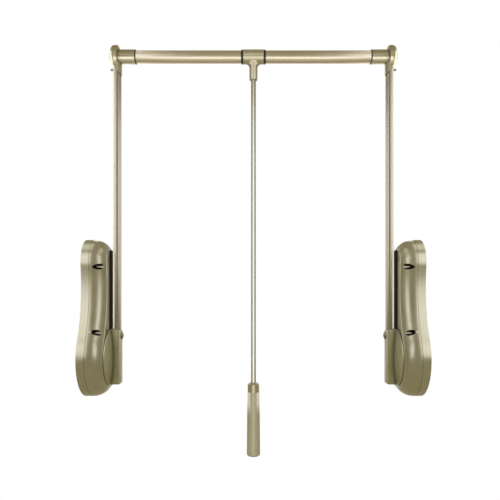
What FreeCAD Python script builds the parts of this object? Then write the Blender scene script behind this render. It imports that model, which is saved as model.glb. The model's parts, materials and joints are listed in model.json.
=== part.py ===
import FreeCAD, Part
import math
import os

# Pull down closet rod: two wall units with sprung arms carry a telescopic rail and a pull rod.
# Lengths are in millimetres. X runs from the left wall to the right wall, Y runs away from the user, Z runs up.
# The origin lies on the left wall, on the arms' pivot axis.

# Overall
span = 630.0
arm_length = 571.0

# Fits
running_clearance = 0.08
seat_clearance = 0.05
face_gap = 0.3
cut_overrun = 1.0

# Housing outline: a large base arc and a smaller head arc joined by hollow flanks
base_radius = 73.0
head_radius = 45.0
head_height = 177.6
flank_radius = 220.0

# Housing shells
tray_depth = 15.0
cover_depth = 28.0
shell_wall = 2.5
dome_radius = 32.0
face_edge_radius = 4.0
groove_width = 0.6
groove_depth = 0.9

# Wall screws
low_screw_y = 52.0
low_screw_z = 49.2
high_screw_y = 38.6
high_screw_z = 169.7
screw_hole_radius = 2.6
counterbore_radius = 5.25
counterbore_floor = 17.0
tower_wall = 2.0

# Back plate
plate_thickness = 2.0
plate_margin = 3.0

# Pivot
shaft_radius = 6.0
shaft_reach = 10.0
bush_wall = 2.0
flange_width = 2.0
flange_thickness = 1.5
clip_thickness = 1.2
clip_width = 3.0

# Gear and rack
gear_module = 1.6
gear_teeth = 18
gear_width = 10.0
gear_standoff = 4.5
pressure_angle = math.radians(20.0)
tooth_backlash = 0.3
tip_gap = 0.4
rack_low_reach = 36.0
rack_high_reach = 10.0
rack_back = 3.6
guide_length = 60.0
guide_thickness = 6.0

# Crosshead, springs and damper
crosshead_z = 62.0
crosshead_height = 6.0
crosshead_depth = 12.0
crosshead_width = 58.0
spring_height = 84.0
spring_offset_y = 20.0
spring_radius = 6.8
spring_wire_radius = 1.2
spring_turns = 7
spring_wire_sides = 8
bridge_height = 6.0
bridge_width = 60.0
bridge_depth = 18.5
damper_radius = 8.0
damper_bore_radius = 6.5
damper_length = 93.0
damper_end = 4.0
damper_standoff = 29.0
damper_rod_radius = 3.0
damper_rod_length = 82.0
piston_height = 6.0

# Arm hub
hub_gap = 0.5
hub_radius = 54.0
hub_thickness = 7.0
hub_rim_height = 2.2
hub_rim_bevel = 0.9
bar_half_width = 9.5
bar_top = 52.5
bar_drop = 51.0
bar_edge_radius = 5.0
socket_wall = 0.8
socket_floor_z = 10.0
hub_bolt_z = 41.0
hub_bolt_radius = 3.0
hub_bolt_head_radius = 7.5
hub_bolt_head_height = 2.6
hub_bolt_dome = 1.6

# Arm tube
arm_radius = 8.0
arm_wall = 1.2
arm_offset = 5.0

# Arm stop
stop_depth = 3.3
stop_front_reach = 4.0
stop_back_reach = 11.0
stop_height = 147.5
stop_finger_drop = 10.0
stop_finger_height = 10.0
stop_finger_far_y = 20.0
stop_finger_reach = 12.5
stop_edge_radius = 1.5

# Rail bracket
bracket_head_radius = 21.0
bracket_thickness = 14.5
bracket_offset = 10.5
bracket_outer_edge_radius = 8.0
bracket_inner_edge_radius = 3.0
bracket_wall = 5.0
neck_radius = 9.2
neck_drop = 36.0
neck_bore_depth = 22.0
spigot_length = 31.0
sleeve_radius = 13.3
sleeve_reach = 31.2
sleeve_bevel = 0.6
ring_thickness = 1.5
ring_radius = 12.9
rail_bolt_radius = 4.0
rail_bolt_head_radius = 8.7
rail_bolt_head_height = 3.5
rail_bolt_dome = 1.5
set_screw_radius = 1.5
set_screw_length = 4.5
set_screw_head_radius = 2.2
set_screw_head_height = 4.2
set_screw_dome = 0.8
set_screw_drop = 24.4
plug_length = 20.0

# Rail
rail_radius = 11.6
rail_wall = 1.2
core_length = 360.0
core_wall = 1.2

# Pull tee and collars
tee_radius = 13.3
tee_half_length = 19.6
tee_bevel = 0.6
collar_thickness = 3.0
collar_radius = 13.1
stem_radius = 7.6
stem_drop = 44.0
stem_flare = 8.5
stem_bore_depth = 24.0

# Pull rod and grip
pull_radius = 5.0
pull_wall = 1.0
grip_top_drop = 619.5
grip_length = 139.3
grip_collar_height = 18.0
grip_cone_height = 3.0
grip_cone_radius = 7.0
grip_collar_radius = 11.3
grip_waist_radius = 11.2
grip_shoulder_drop = 34.0
grip_shoulder_radius = 12.0
grip_end_radius = 12.7
grip_end_rounding = 4.0
grip_scoop_depth = 1.1
grip_scoop_angle = math.radians(60.0)
grip_bore_depth = 90.0

# Places that follow from the sizes above
housing_depth = tray_depth + cover_depth
cover_inner_x = housing_depth - shell_wall
plate_top_x = shell_wall + plate_thickness
gear_low_x = plate_top_x + gear_standoff
gear_high_x = gear_low_x + gear_width
works_x = (gear_low_x + gear_high_x) / 2
hub_low_x = housing_depth + hub_gap
hub_face_x = hub_low_x + hub_thickness
arm_x = hub_face_x + arm_offset
bar_face_x = arm_x + arm_radius + seat_clearance + socket_wall
bush_radius = shaft_radius + running_clearance + bush_wall
bracket_low_x = arm_x - bracket_offset
bracket_high_x = bracket_low_x + bracket_thickness
sleeve_end_x = bracket_high_x + sleeve_reach
ring_end_x = sleeve_end_x + ring_thickness
rail_seat_x = bracket_low_x + bracket_wall
middle_x = span / 2
rail_end_x = middle_x - tee_half_length - collar_thickness - 2 * face_gap
rail_bore_radius = rail_radius - rail_wall
core_radius = rail_bore_radius - running_clearance
pitch_radius = gear_module * gear_teeth / 2
tooth_pitch = math.pi * gear_module
rack_root_y = pitch_radius + gear_module + tip_gap
rack_back_y = rack_root_y + rack_back
crosshead_top_z = crosshead_z + crosshead_height
bridge_z = crosshead_top_z + spring_height
damper_z = crosshead_top_z + damper_standoff
neck_low_z = arm_length - neck_drop
set_screw_z = arm_length - set_screw_drop
stem_end_z = arm_length - stem_drop
grip_top_z = arm_length - grip_top_drop
grip_end_z = grip_top_z - grip_length

x_axis = FreeCAD.Vector(1, 0, 0)
z_axis = FreeCAD.Vector(0, 0, 1)


def vec(x, y, z):
    return FreeCAD.Vector(x, y, z)


def x_cylinder(radius, x_low, x_high, y=0, z=0):
    return Part.makeCylinder(radius, x_high - x_low, vec(x_low, y, z), x_axis)


def z_cylinder(radius, z_low, z_high, x, y=0):
    return Part.makeCylinder(radius, z_high - z_low, vec(x, y, z_low), z_axis)


def block(x_low, x_high, y_low, y_high, z_low, z_high):
    return Part.makeBox(x_high - x_low, y_high - y_low, z_high - z_low, vec(x_low, y_low, z_low))


def x_prism(edges, depth):
    return Part.Face(Part.Wire(edges)).extrude(vec(depth, 0, 0))


def line(start, end):
    return Part.LineSegment(start, end).toShape()


def arc(start, middle, end):
    return Part.Arc(start, middle, end).toShape()


# Edges of a shape that lie in the plane at this X
def edges_at_x(shape, x):
    return [edge for edge in shape.Edges
            if abs(edge.BoundBox.XMin - x) < seat_clearance and abs(edge.BoundBox.XMax - x) < seat_clearance]


# Edges of a shape that lie in the plane at this Z
def edges_at_z(shape, z):
    return [edge for edge in shape.Edges
            if abs(edge.BoundBox.ZMin - z) < seat_clearance and abs(edge.BoundBox.ZMax - z) < seat_clearance]


# Housing outline in a plane at x, drawn in by inset; the flank centres stay where they are
def housing_outline(inset, x):
    base_reach = base_radius + flank_radius
    head_reach = head_radius + flank_radius
    flank_z = (head_height ** 2 + base_reach ** 2 - head_reach ** 2) / (2 * head_height)
    flank_y = math.sqrt(base_reach ** 2 - flank_z ** 2)
    base = base_radius - inset
    head = head_radius - inset
    waist = flank_y - flank_radius - inset
    low_y = base * flank_y / base_reach
    low_z = base * flank_z / base_reach
    high_y = head * flank_y / head_reach
    high_z = head_height + head * (flank_z - head_height) / head_reach
    return [
        arc(vec(x, low_y, low_z), vec(x, 0, -base), vec(x, -low_y, low_z)),
        arc(vec(x, -low_y, low_z), vec(x, -waist, flank_z), vec(x, -high_y, high_z)),
        arc(vec(x, -high_y, high_z), vec(x, 0, head_height + head), vec(x, high_y, high_z)),
        arc(vec(x, high_y, high_z), vec(x, waist, flank_z), vec(x, low_y, low_z)),
    ]


def housing_block(inset, x_low, x_high):
    return x_prism(housing_outline(inset, x_low), x_high - x_low)


# Housing block whose flanks round over from the parting line to a flat face on the room side
def housing_dome(inset, x_low, x_high):
    crown_x = tray_depth + dome_radius - inset
    plain = housing_block(inset, 0, crown_x)
    round_top = plain.makeFillet(dome_radius - inset, edges_at_x(plain, crown_x))
    flat_top = round_top.common(housing_block(0, x_low, x_high))
    return flat_top.makeFillet(face_edge_radius, edges_at_x(flat_top, x_high))


# Posts of one radius at the four wall screws
def screw_posts(radius, x_low, x_high):
    places = [(side * low_screw_y, low_screw_z) for side in (-1, 1)]
    places += [(side * high_screw_y, high_screw_z) for side in (-1, 1)]
    return [x_cylinder(radius, x_low, x_high, y, z) for y, z in places]


def make_base_shell():
    outer = housing_block(0, 0, tray_depth)
    hollow = housing_block(shell_wall, shell_wall, tray_depth + cut_overrun)
    groove_low = tray_depth - groove_width
    groove = housing_block(-cut_overrun, groove_low, tray_depth + cut_overrun)
    tongue = housing_block(groove_depth, groove_low, tray_depth + cut_overrun)
    shell = outer.cut([hollow, groove.cut(tongue)])
    inside = housing_block(shell_wall / 2, 0, tray_depth)
    posts = [post.common(inside) for post in screw_posts(counterbore_radius + tower_wall, 0, tray_depth)]
    return shell.fuse(posts).cut(screw_posts(screw_hole_radius, -cut_overrun, tray_depth + cut_overrun))


def make_cover_shell():
    outer = housing_dome(0, tray_depth, housing_depth)
    shell = outer.cut(housing_dome(shell_wall, tray_depth - cut_overrun, cover_inner_x))
    towers = [tower.common(outer)
              for tower in screw_posts(counterbore_radius + tower_wall, tray_depth, housing_depth)]
    recesses = screw_posts(counterbore_radius, counterbore_floor, housing_depth + cut_overrun)
    holes = screw_posts(screw_hole_radius, 0, housing_depth)
    bush_hole = x_cylinder(bush_radius + seat_clearance, cover_inner_x - cut_overrun, housing_depth + cut_overrun)
    return shell.fuse(towers).cut(recesses + holes + [bush_hole])


def make_back_plate():
    plate = housing_block(shell_wall + plate_margin, shell_wall, plate_top_x)
    bush_hole = x_cylinder(bush_radius + seat_clearance, 0, plate_top_x + cut_overrun)
    post_radius = counterbore_radius + tower_wall + face_gap
    return plate.cut([bush_hole] + screw_posts(post_radius, 0, plate_top_x + cut_overrun))


# Flanged bush: the flange starts at x_flange and the body runs from there past x_end
def flanged_bush(x_flange, x_end, flange_end):
    body = x_cylinder(bush_radius, min(x_flange, x_end), max(x_flange, x_end))
    flange = x_cylinder(bush_radius + flange_width, min(x_flange, flange_end), max(x_flange, flange_end))
    bore = x_cylinder(shaft_radius + running_clearance, 0, housing_depth + cut_overrun)
    return body.fuse(flange).cut(bore)


def make_pivot_bushes():
    plate_bush = flanged_bush(plate_top_x + flange_thickness, shell_wall, plate_top_x)
    cover_bush = flanged_bush(cover_inner_x - flange_thickness, housing_depth, cover_inner_x)
    return Part.makeCompound([plate_bush, cover_bush])


def make_pivot_shaft():
    return x_cylinder(shaft_radius, shell_wall + face_gap, hub_face_x + shaft_reach)


def make_shaft_clip():
    clip_x = plate_top_x + flange_thickness + face_gap
    clip_bore = shaft_radius + seat_clearance
    ring = x_cylinder(clip_bore + clip_width, clip_x, clip_x + clip_thickness)
    return ring.cut(x_cylinder(clip_bore, clip_x - cut_overrun, clip_x + clip_thickness + cut_overrun))


# Half the angle of a gear tooth at a radius, by the involute of the base circle
def half_tooth_angle(radius):
    base_circle = pitch_radius * math.cos(pressure_angle)
    roll = math.acos(min(1, base_circle / radius))
    at_pitch = (tooth_pitch / 2 - tooth_backlash) / (2 * pitch_radius)
    return at_pitch + math.tan(pressure_angle) - pressure_angle - math.tan(roll) + roll


def make_pivot_gear():
    tip_radius = pitch_radius + gear_module
    root_radius = pitch_radius - gear_module - tip_gap
    step = 2 * math.pi / gear_teeth

    def at(radius, angle):
        return vec(gear_low_x, radius * math.cos(angle), radius * math.sin(angle))

    edges = []
    for index in range(gear_teeth):
        center = index * step
        root_half = half_tooth_angle(root_radius)
        pitch_half = half_tooth_angle(pitch_radius)
        tip_half = half_tooth_angle(tip_radius)
        rising = [at(root_radius, center - root_half), at(pitch_radius, center - pitch_half),
                  at(tip_radius, center - tip_half)]
        falling = [at(tip_radius, center + tip_half), at(pitch_radius, center + pitch_half),
                   at(root_radius, center + root_half)]
        edges.append(arc(*rising))
        edges.append(line(rising[-1], falling[0]))
        edges.append(arc(*falling))
        edges.append(line(falling[-1], at(root_radius, center + step - root_half)))
    bore = x_cylinder(shaft_radius + seat_clearance, gear_low_x - cut_overrun, gear_high_x + cut_overrun)
    return x_prism(edges, gear_width).cut(bore)


# Toothed edge of the rack, from its low end to the plain stretch above the teeth
def rack_tooth_points():
    slope = math.tan(pressure_angle)
    pitch_half = (tooth_pitch / 2 - tooth_backlash) / 2
    tip_half = pitch_half - gear_module * slope
    root_half = pitch_half + (gear_module + tip_gap) * slope
    tip_y = pitch_radius - gear_module
    first = -math.floor(rack_low_reach / tooth_pitch)
    last = math.floor(rack_high_reach / tooth_pitch)
    points = []
    for index in range(first, last):
        center = (index + 1 / 2) * tooth_pitch
        points.append(vec(gear_low_x, rack_root_y, center - root_half))
        points.append(vec(gear_low_x, tip_y, center - tip_half))
        points.append(vec(gear_low_x, tip_y, center + tip_half))
        points.append(vec(gear_low_x, rack_root_y, center + root_half))
    return points


def make_rack():
    corners = [vec(gear_low_x, rack_root_y, -rack_low_reach)] + rack_tooth_points()
    corners += [vec(gear_low_x, rack_root_y, crosshead_z + cut_overrun),
                vec(gear_low_x, rack_back_y, crosshead_z + cut_overrun),
                vec(gear_low_x, rack_back_y, -rack_low_reach)]
    bar = Part.Face(Part.makePolygon(corners + corners[:1])).extrude(vec(gear_width, 0, 0))
    half_depth = crosshead_depth / 2
    half_width = crosshead_width / 2
    head = block(works_x - half_depth, works_x + half_depth, -half_width, half_width, crosshead_z, crosshead_top_z)
    rod_hole = z_cylinder(damper_rod_radius + seat_clearance, crosshead_z - cut_overrun,
                          crosshead_top_z + cut_overrun, works_x)
    return bar.fuse(head).cut(rod_hole).removeSplitter()


def make_rack_guide():
    guide_y = rack_back_y + running_clearance
    return block(plate_top_x, gear_high_x, guide_y, guide_y + guide_thickness, -guide_length / 2, guide_length / 2)


def make_spring_bridge():
    bar = block(plate_top_x, plate_top_x + bridge_depth, -bridge_width / 2, bridge_width / 2,
                bridge_z, bridge_z + bridge_height)
    hole = z_cylinder(damper_radius + seat_clearance, bridge_z - cut_overrun,
                      bridge_z + bridge_height + cut_overrun, works_x)
    return bar.cut(hole)


def make_damper_cylinder():
    top_z = damper_z + damper_length
    tube = z_cylinder(damper_radius, damper_z, top_z, works_x)
    bore = z_cylinder(damper_bore_radius, damper_z + damper_end, top_z - damper_end, works_x)
    gland = z_cylinder(damper_rod_radius + running_clearance, damper_z - cut_overrun,
                       damper_z + damper_end + cut_overrun, works_x)
    return tube.cut([bore, gland])


def make_damper_rod():
    top_z = crosshead_z + damper_rod_length
    rod = z_cylinder(damper_rod_radius, crosshead_z, top_z, works_x)
    piston = z_cylinder(damper_bore_radius - running_clearance, top_z - piston_height, top_z, works_x)
    return rod.fuse(piston)


# Two arcs that leave start along start_way and reach end along end_way
def biarc(start, start_way, end, end_way):
    gap = end.sub(start)
    ways = start_way.add(end_way)
    spread = 2 * (1 - start_way.dot(end_way))
    reach = (math.sqrt(gap.dot(ways) ** 2 + spread * gap.dot(gap)) - gap.dot(ways)) / spread
    joint = (start.add(end).add(start_way.sub(end_way).multiply(reach))).multiply(1 / 2)
    corners = [(start, start.add(vec(*start_way).multiply(reach)), joint),
               (joint, end.sub(vec(*end_way).multiply(reach)), end)]
    return [corner_arc(first, corner, last, reach) for first, corner, last in corners]


# Arc from first to last whose end tangents meet at corner, each as long as reach
def corner_arc(first, corner, last, reach):
    chord_middle = first.add(last).multiply(1 / 2)
    half_chord = last.sub(first).Length / 2
    half_turn = math.acos(half_chord / reach)
    rise = corner.sub(chord_middle).normalize().multiply(half_chord * math.tan(half_turn / 2))
    return arc(first, chord_middle.add(rise), last)


# Helix point and direction after a number of turns
def helix_point(turns, pitch, x, y, z):
    angle = 2 * math.pi * turns
    place = vec(x + spring_radius * math.cos(angle), y + spring_radius * math.sin(angle), z + pitch * turns)
    way = vec(-math.sin(angle), math.cos(angle), pitch / (2 * math.pi * spring_radius)).normalize()
    return place, way


# Many-sided section of the spring wire, square to the wire's direction at the helix start
def wire_section(place, way):
    across = vec(1, 0, 0)
    up = way.cross(across)
    corners = []
    for side in range(spring_wire_sides + 1):
        angle = 2 * math.pi * side / spring_wire_sides
        reach = vec(*across).multiply(spring_wire_radius * math.cos(angle))
        corners.append(place.add(reach).add(vec(*up).multiply(spring_wire_radius * math.sin(angle))))
    return Part.makePolygon(corners)


def make_spring(y):
    low_z = crosshead_top_z + face_gap + spring_wire_radius
    pitch = (bridge_z - face_gap - spring_wire_radius - low_z) / spring_turns
    stops = [helix_point(quarter / 4, pitch, works_x, y, low_z) for quarter in range(4 * spring_turns + 1)]
    edges = []
    for (start, start_way), (end, end_way) in zip(stops, stops[1:]):
        edges += biarc(start, start_way, end, end_way)
    profile = wire_section(stops[0][0], stops[0][1])
    print("spring: least gap between turns", round(least_gap(edges), 2))
    return Part.Wire(edges).makePipeShell([profile], True, False)


# Least clear gap of a wound wire to itself, between points at least half a turn apart
def least_gap(edges):
    arcs_per_turn = 8
    middles = [edge.valueAt((edge.FirstParameter + edge.LastParameter) / 2) for edge in edges]
    pairs = [(first, second) for first in range(len(middles))
             for second in range(first + arcs_per_turn // 2, len(middles))]
    return min(middles[first].distanceToPoint(middles[second]) for first, second in pairs) - 2 * spring_wire_radius


def make_springs():
    return Part.makeCompound([make_spring(-spring_offset_y), make_spring(spring_offset_y)])


# Disc about the pivot axis with a straight rim and a slightly crowned face
def domed_disc(radius, x_low, x_rim, x_crown):
    crown = x_crown - x_rim
    sphere_radius = (radius ** 2 + crown ** 2) / (2 * crown)
    half_rise = sphere_radius - math.sqrt(sphere_radius ** 2 - radius ** 2 / 4)
    edges = [
        line(vec(x_low, 0, 0), vec(x_low, radius, 0)),
        line(vec(x_low, radius, 0), vec(x_rim, radius, 0)),
        arc(vec(x_rim, radius, 0), vec(x_crown - half_rise, radius / 2, 0), vec(x_crown, 0, 0)),
        line(vec(x_crown, 0, 0), vec(x_low, 0, 0)),
    ]
    return Part.Face(Part.Wire(edges)).revolve(vec(0, 0, 0), x_axis, 360)


def make_arm_hub():
    rim_x = hub_low_x + hub_rim_height
    plain_disc = domed_disc(hub_radius, hub_low_x, rim_x, hub_face_x)
    disc = plain_disc.makeFillet(hub_rim_bevel, edges_at_x(plain_disc, rim_x))
    plain_bar = block(hub_low_x, bar_face_x, -bar_half_width, bar_half_width, -bar_drop, bar_top)
    bar = plain_bar.makeFillet(bar_edge_radius, edges_at_x(plain_bar, bar_face_x))
    shaft_bore = x_cylinder(shaft_radius + seat_clearance, hub_low_x - cut_overrun,
                            hub_face_x + shaft_reach + face_gap)
    socket = z_cylinder(arm_radius + seat_clearance, socket_floor_z, bar_top + cut_overrun, arm_x)
    bolt_hole = x_cylinder(hub_bolt_radius + seat_clearance, hub_face_x, bar_face_x + cut_overrun, 0, hub_bolt_z)
    return disc.fuse(bar).cut([shaft_bore, socket, bolt_hole])


# Round bolt along X with a domed head; way is +1 where the head lies at the shank's high end
def domed_bolt(seat_x, way, shank_radius, shank_length, head_radius_here, head_height_here, dome, z):
    shank = Part.makeCylinder(shank_radius, shank_length, vec(seat_x, 0, z), vec(-way, 0, 0))
    plain_head = Part.makeCylinder(head_radius_here, head_height_here, vec(seat_x, 0, z), vec(way, 0, 0))
    head = plain_head.makeFillet(dome, edges_at_x(plain_head, seat_x + way * head_height_here))
    return head.fuse(shank)


def make_hub_bolt():
    shank_length = bar_face_x - hub_face_x - face_gap
    return domed_bolt(bar_face_x, 1, hub_bolt_radius, shank_length, hub_bolt_head_radius, hub_bolt_head_height,
                      hub_bolt_dome, hub_bolt_z)


def make_arm_tube():
    top_z = neck_low_z + neck_bore_depth
    tube = z_cylinder(arm_radius, socket_floor_z, top_z, arm_x)
    bore = z_cylinder(arm_radius - arm_wall, socket_floor_z - cut_overrun, top_z + cut_overrun, arm_x)
    bolt_hole = x_cylinder(hub_bolt_radius + seat_clearance, hub_face_x, bar_face_x, 0, hub_bolt_z)
    screw_hole = x_cylinder(set_screw_radius + seat_clearance, bracket_low_x, arm_x, 0, set_screw_z)
    return tube.cut([bore, bolt_hole, screw_hole])


def make_arm_stop():
    low_z = hub_radius + stop_edge_radius
    high_z = low_z + stop_height
    strip = block(housing_depth, housing_depth + stop_depth, -stop_front_reach, stop_back_reach, low_z, high_z)
    soft = strip.makeFillet(stop_edge_radius, edges_at_x(strip, housing_depth + stop_depth))
    finger_y = arm_radius + face_gap
    finger_high_z = high_z - stop_finger_drop
    finger = block(housing_depth, housing_depth + stop_finger_reach, finger_y, stop_finger_far_y,
                   finger_high_z - stop_finger_height, finger_high_z)
    return soft.fuse(finger).removeSplitter()


# Socket round the arm's upper end, its lower rim cut on a slant that drops towards the rail
def slanted_neck():
    neck = z_cylinder(neck_radius, neck_low_z, arm_length, arm_x)
    left_x = arm_x - neck_radius - cut_overrun
    right_x = arm_x + neck_radius + cut_overrun
    low_z = neck_low_z - cut_overrun
    corners = [vec(left_x, -arm_length, low_z), vec(right_x, -arm_length, low_z),
               vec(left_x, -arm_length, low_z + right_x - left_x)]
    below = Part.Face(Part.makePolygon(corners + corners[:1])).extrude(vec(0, 2 * arm_length, 0))
    return neck.cut(below)


def make_rail_bracket():
    plain_head = x_cylinder(bracket_head_radius, bracket_low_x, bracket_high_x, 0, arm_length)
    soft_head = plain_head.makeFillet(bracket_outer_edge_radius, edges_at_x(plain_head, bracket_low_x))
    head = soft_head.makeFillet(bracket_inner_edge_radius, edges_at_x(soft_head, bracket_high_x))
    plain_sleeve = x_cylinder(sleeve_radius, arm_x, sleeve_end_x, 0, arm_length)
    sleeve = plain_sleeve.makeChamfer(sleeve_bevel, edges_at_x(plain_sleeve, sleeve_end_x))
    arm_bore = z_cylinder(arm_radius + seat_clearance, neck_low_z - cut_overrun, neck_low_z + neck_bore_depth, arm_x)
    spigot = z_cylinder(arm_radius - arm_wall - seat_clearance, arm_length - spigot_length, arm_length, arm_x)
    body = head.fuse([slanted_neck(), sleeve]).cut(arm_bore).fuse(spigot)
    rail_bore = x_cylinder(rail_radius + seat_clearance, rail_seat_x, sleeve_end_x + cut_overrun, 0, arm_length)
    bolt_hole = x_cylinder(rail_bolt_radius + seat_clearance, bracket_low_x - cut_overrun,
                           rail_seat_x + cut_overrun, 0, arm_length)
    screw_end_x = arm_x - arm_radius + set_screw_length
    screw_hole = x_cylinder(set_screw_radius + seat_clearance, bracket_low_x, screw_end_x, 0, set_screw_z)
    return body.cut([rail_bore, bolt_hole, screw_hole])


def make_rail_ring():
    ring = x_cylinder(ring_radius, sleeve_end_x, ring_end_x, 0, arm_length)
    bore = x_cylinder(rail_radius + seat_clearance, sleeve_end_x - cut_overrun, ring_end_x + cut_overrun,
                      0, arm_length)
    return ring.cut(bore)


def make_rail_bolt():
    shank_length = rail_seat_x - bracket_low_x + plug_length / 2
    return domed_bolt(bracket_low_x, -1, rail_bolt_radius, shank_length, rail_bolt_head_radius,
                      rail_bolt_head_height, rail_bolt_dome, arm_length)


def make_set_screw():
    return domed_bolt(arm_x - arm_radius, -1, set_screw_radius, set_screw_length, set_screw_head_radius,
                      set_screw_head_height, set_screw_dome, set_screw_z)


def make_rail_plug():
    plug = x_cylinder(rail_bore_radius - seat_clearance, rail_seat_x, rail_seat_x + plug_length, 0, arm_length)
    hole = x_cylinder(rail_bolt_radius + seat_clearance, rail_seat_x - cut_overrun,
                      rail_seat_x + plug_length / 2 + face_gap, 0, arm_length)
    return plug.cut(hole)


def make_rail_tube():
    tube = x_cylinder(rail_radius, rail_seat_x, rail_end_x, 0, arm_length)
    bore = x_cylinder(rail_bore_radius, rail_seat_x - cut_overrun, rail_end_x + cut_overrun, 0, arm_length)
    return tube.cut(bore)


def make_rail_core_tube():
    low_x = middle_x - core_length / 2
    high_x = middle_x + core_length / 2
    tube = x_cylinder(core_radius, low_x, high_x, 0, arm_length)
    bore = x_cylinder(core_radius - core_wall, low_x - cut_overrun, high_x + cut_overrun, 0, arm_length)
    return tube.cut(bore)


def make_rail_collars():
    near = tee_half_length + face_gap
    collars = []
    for low_x in (middle_x - near - collar_thickness, middle_x + near):
        ring = x_cylinder(collar_radius, low_x, low_x + collar_thickness, 0, arm_length)
        bore = x_cylinder(core_radius + seat_clearance, low_x - cut_overrun, low_x + collar_thickness + cut_overrun,
                          0, arm_length)
        collars.append(ring.cut(bore))
    return Part.makeCompound(collars)


def make_pull_tee():
    low_x = middle_x - tee_half_length
    high_x = middle_x + tee_half_length
    plain_sleeve = x_cylinder(tee_radius, low_x, high_x, 0, arm_length)
    sleeve = plain_sleeve.makeChamfer(tee_bevel, edges_at_x(plain_sleeve, low_x) + edges_at_x(plain_sleeve, high_x))
    stem = z_cylinder(stem_radius, stem_end_z, arm_length, middle_x)
    plain_tee = sleeve.fuse(stem)
    seam = [edge for edge in plain_tee.Edges
            if edge.BoundBox.XLength > stem_radius and edge.BoundBox.YLength > stem_radius
            and edge.BoundBox.ZLength > seat_clearance and edge.BoundBox.XLength < tee_half_length]
    tee = plain_tee.makeFillet(stem_flare, seam)
    rail_bore = x_cylinder(core_radius + running_clearance, low_x - cut_overrun, high_x + cut_overrun, 0, arm_length)
    rod_bore = z_cylinder(pull_radius + seat_clearance, stem_end_z - cut_overrun, stem_end_z + stem_bore_depth,
                          middle_x)
    return tee.cut([rail_bore, rod_bore])


def make_pull_tube():
    low_z = grip_top_z - grip_bore_depth
    high_z = stem_end_z + stem_bore_depth
    tube = z_cylinder(pull_radius, low_z, high_z, middle_x)
    return tube.cut(z_cylinder(pull_radius - pull_wall, low_z - cut_overrun, high_z + cut_overrun, middle_x))


def rod_bore_in_grip():
    return z_cylinder(pull_radius + seat_clearance, grip_top_z - grip_bore_depth, grip_top_z + cut_overrun, middle_x)


# Round length in the middle of the span that tapers from one radius to another
def taper(low_radius, high_radius, low_z, high_z):
    return Part.makeCone(low_radius, high_radius, high_z - low_z, vec(middle_x, 0, low_z))


def make_grip_collar():
    cone_low_z = grip_top_z - grip_cone_height
    low_z = grip_top_z - grip_collar_height
    ring = taper(grip_waist_radius, grip_collar_radius, low_z, cone_low_z)
    cone = taper(grip_collar_radius, grip_cone_radius, cone_low_z, grip_top_z)
    return ring.fuse(cone).cut(rod_bore_in_grip())


# Hollows below the collar, two in front and two behind, that run out at the shoulder
def side_scoops(top_z, low_z):
    height = top_z - low_z
    radius = height ** 2 / (2 * grip_scoop_depth)
    reach = grip_shoulder_radius + radius
    scoops = []
    for way_x in (-1, 1):
        for way_y in (-1, 1):
            out_x = way_x * math.sin(grip_scoop_angle)
            out_y = way_y * math.cos(grip_scoop_angle)
            start = vec(middle_x + reach * out_x + grip_end_radius * out_y,
                        reach * out_y - grip_end_radius * out_x, low_z)
            roller = Part.makeCylinder(radius, 2 * grip_end_radius, start, vec(-out_y, out_x, 0))
            slab = block(middle_x - radius, middle_x + radius, -radius, radius, low_z, top_z)
            scoops.append(roller.common(slab))
    return scoops


def make_grip_handle():
    top_z = grip_top_z - grip_collar_height
    shoulder_z = top_z - grip_shoulder_drop
    shoulder = taper(grip_shoulder_radius, grip_waist_radius, shoulder_z, top_z)
    plain_body = taper(grip_end_radius, grip_shoulder_radius, grip_end_z, shoulder_z)
    body = plain_body.makeFillet(grip_end_rounding, edges_at_z(plain_body, grip_end_z))
    return shoulder.fuse(body).cut(side_scoops(top_z, shoulder_z) + [rod_bore_in_grip()])


def save(shape, node):
    if not shape.isValid():
        print("not valid:", node)
    shape.exportStep(os.path.join("parts", node + ".step"))


# The right side is the left side mirrored in the middle of the span
def mirrored(shape):
    return shape.mirror(vec(middle_x, 0, 0), x_axis)


side_pieces = {
    "base_shell": make_base_shell,
    "cover_shell": make_cover_shell,
    "back_plate": make_back_plate,
    "pivot_bushes": make_pivot_bushes,
    "rack_guide": make_rack_guide,
    "spring_bridge": make_spring_bridge,
    "springs": make_springs,
    "damper_cylinder": make_damper_cylinder,
    "arm_stop": make_arm_stop,
    "rack": make_rack,
    "damper_rod": make_damper_rod,
    "pivot_shaft": make_pivot_shaft,
    "shaft_clip": make_shaft_clip,
    "pivot_gear": make_pivot_gear,
    "arm_hub": make_arm_hub,
    "hub_bolt": make_hub_bolt,
    "arm_tube": make_arm_tube,
    "rail_bracket": make_rail_bracket,
    "rail_ring": make_rail_ring,
    "rail_bolt": make_rail_bolt,
    "set_screw": make_set_screw,
    "rail_plug": make_rail_plug,
    "rail_tube": make_rail_tube,
}

middle_pieces = {
    "rail_core_tube": make_rail_core_tube,
    "rail_collars": make_rail_collars,
    "pull_tee": make_pull_tee,
    "pull_tube": make_pull_tube,
    "grip_collar": make_grip_collar,
    "grip_handle": make_grip_handle,
}

os.makedirs("parts", exist_ok=True)
for name, make in side_pieces.items():
    piece = make()
    save(piece, "left_" + name)
    save(mirrored(piece), "right_" + name)
for name, make in middle_pieces.items():
    save(make(), name)
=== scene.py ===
import json
import math
import bmesh
import bpy
from mathutils import Matrix, Vector


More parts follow.
